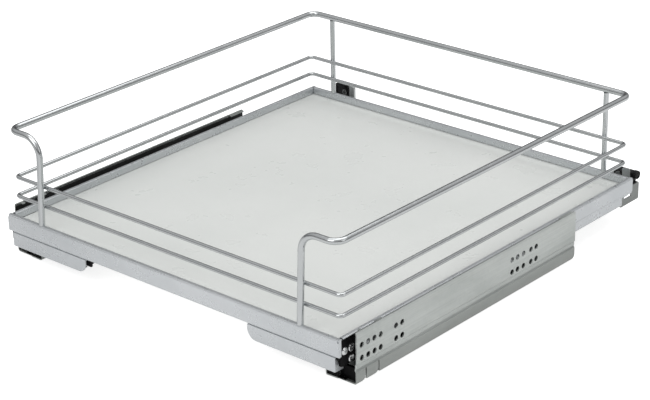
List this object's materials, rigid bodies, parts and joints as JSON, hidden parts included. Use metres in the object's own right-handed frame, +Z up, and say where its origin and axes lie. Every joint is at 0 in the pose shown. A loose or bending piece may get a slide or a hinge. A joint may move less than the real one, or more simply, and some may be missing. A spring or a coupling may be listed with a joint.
{
  "type": "pull out cabinet basket",
  "caption": "Pull out cabinet basket: railed tray with a board on undermount ball runners for a base cabinet.",
  "frame": {"origin": "middle of the overall box at its lowest face, which is the underside of the two runner bases", "axes": "+X to the right seen from the front, +Y to the rear of the cabinet, +Z up; the basket pulls out along -Y"},
  "size_m": [0.563, 0.617, 0.176],
  "materials": {
    "silver_paint": "satin",
    "white_board": "satin white melamine face",
    "chrome_wire": "satin chrome",
    "galvanised_steel": "zinc plated",
    "black_plastic": "fine grain",
    "cage_plastic": "natural",
    "ball_steel": "polished",
    "screw_steel": "bright zinc"
  },
  "bodies": {
    "cabinet_side": {"cabinet_bracket_left": "galvanised_steel", "cabinet_bracket_right": "galvanised_steel", "fixed_rail_left": "galvanised_steel", "fixed_rail_right": "galvanised_steel", "rail_front_cap_left": "black_plastic", "rail_front_cap_right": "black_plastic"},
    "intermediate_left": {"intermediate_rail_left": "galvanised_steel", "intermediate_bumper_left": "black_plastic"},
    "lower_cage_set_left": {"lower_cage_left": "cage_plastic", "lower_balls_left": "ball_steel"},
    "upper_cage_set_left": {"upper_cage_left": "cage_plastic", "upper_balls_left": "ball_steel"},
    "lever_left": {"release_lever_left": "black_plastic"},
    "wheel_left": {"tilt_wheel_left": "black_plastic"},
    "hook_left": {"tilt_hook_left": "galvanised_steel"},
    "intermediate_right": {"intermediate_rail_right": "galvanised_steel", "intermediate_bumper_right": "black_plastic"},
    "lower_cage_set_right": {"lower_cage_right": "cage_plastic", "lower_balls_right": "ball_steel"},
    "upper_cage_set_right": {"upper_cage_right": "cage_plastic", "upper_balls_right": "ball_steel"},
    "lever_right": {"release_lever_right": "black_plastic"},
    "wheel_right": {"tilt_wheel_right": "black_plastic"},
    "hook_right": {"tilt_hook_right": "galvanised_steel"},
    "basket": {"front_profile": "silver_paint", "side_profile_left": "silver_paint", "side_profile_right": "silver_paint", "rear_profile": "silver_paint", "base_board": "white_board", "corner_connector_left": "black_plastic", "corner_connector_right": "black_plastic", "corner_screws": "screw_steel", "railing_top": "chrome_wire", "railing_middle": "chrome_wire", "railing_lower": "chrome_wire", "rear_post_left": "chrome_wire", "rear_post_right": "chrome_wire", "drawer_rail_left": "galvanised_steel", "drawer_rail_right": "galvanised_steel", "lock_housing_left": "black_plastic", "lock_housing_right": "black_plastic", "lock_screws": "screw_steel", "tilt_housing_left": "black_plastic", "tilt_housing_right": "black_plastic", "tilt_screws": "screw_steel"}
  },
  "joints": [
    {"name": "basket_slide", "type": "slide", "parent": "cabinet_side", "child": "basket", "axis": [0, -1, 0], "range_m": [0, 0.53]},
    {"name": "intermediate_slide_left", "type": "slide", "parent": "cabinet_side", "child": "intermediate_left", "axis": [0, -1, 0], "range_m": [0, 0.27]},
    {"name": "lower_cage_slide_left", "type": "slide", "parent": "cabinet_side", "child": "lower_cage_set_left", "axis": [0, -1, 0], "range_m": [0, 0.134]},
    {"name": "upper_cage_slide_left", "type": "slide", "parent": "cabinet_side", "child": "upper_cage_set_left", "axis": [0, -1, 0], "range_m": [0, 0.4]},
    {"name": "lever_hinge_left", "type": "hinge", "parent": "basket", "child": "lever_left", "pos_m": [-0.205, -0.2815, 0.0325], "axis": [0, 0, 1], "range_deg": [0, 10], "stiffness_Nm_per_rad": 0.15},
    {"name": "wheel_spin_left", "type": "hinge", "parent": "basket", "child": "wheel_left", "pos_m": [-0.2554, 0.3029, 0.0487], "axis": [1, 0, 0], "range_deg": [0, 720]},
    {"name": "hook_lift_left", "type": "slide", "parent": "basket", "child": "hook_left", "axis": [0, 0, 1], "range_m": [0, 0.003]},
    {"name": "intermediate_slide_right", "type": "slide", "parent": "cabinet_side", "child": "intermediate_right", "axis": [0, -1, 0], "range_m": [0, 0.27]},
    {"name": "lower_cage_slide_right", "type": "slide", "parent": "cabinet_side", "child": "lower_cage_set_right", "axis": [0, -1, 0], "range_m": [0, 0.134]},
    {"name": "upper_cage_slide_right", "type": "slide", "parent": "cabinet_side", "child": "upper_cage_set_right", "axis": [0, -1, 0], "range_m": [0, 0.4]},
    {"name": "lever_hinge_right", "type": "hinge", "parent": "basket", "child": "lever_right", "pos_m": [0.205, -0.2815, 0.0325], "axis": [0, 0, -1], "range_deg": [0, 10], "stiffness_Nm_per_rad": 0.15},
    {"name": "wheel_spin_right", "type": "hinge", "parent": "basket", "child": "wheel_right", "pos_m": [0.2554, 0.3029, 0.0487], "axis": [1, 0, 0], "range_deg": [0, 720]},
    {"name": "hook_lift_right", "type": "slide", "parent": "basket", "child": "hook_right", "axis": [0, 0, 1], "range_m": [0, 0.003]}
  ],
  "couplings": [
    {"joint": "intermediate_slide_left", "follows": "basket_slide", "ratio": 0.5},
    {"joint": "lower_cage_slide_left", "follows": "basket_slide", "ratio": 0.25},
    {"joint": "upper_cage_slide_left", "follows": "basket_slide", "ratio": 0.75},
    {"joint": "wheel_spin_left", "follows": "hook_lift_left", "rad_per_m": 4188},
    {"joint": "intermediate_slide_right", "follows": "basket_slide", "ratio": 0.5},
    {"joint": "lower_cage_slide_right", "follows": "basket_slide", "ratio": 0.25},
    {"joint": "upper_cage_slide_right", "follows": "basket_slide", "ratio": 0.75},
    {"joint": "wheel_spin_right", "follows": "hook_lift_right", "rad_per_m": 4188}
  ]
}
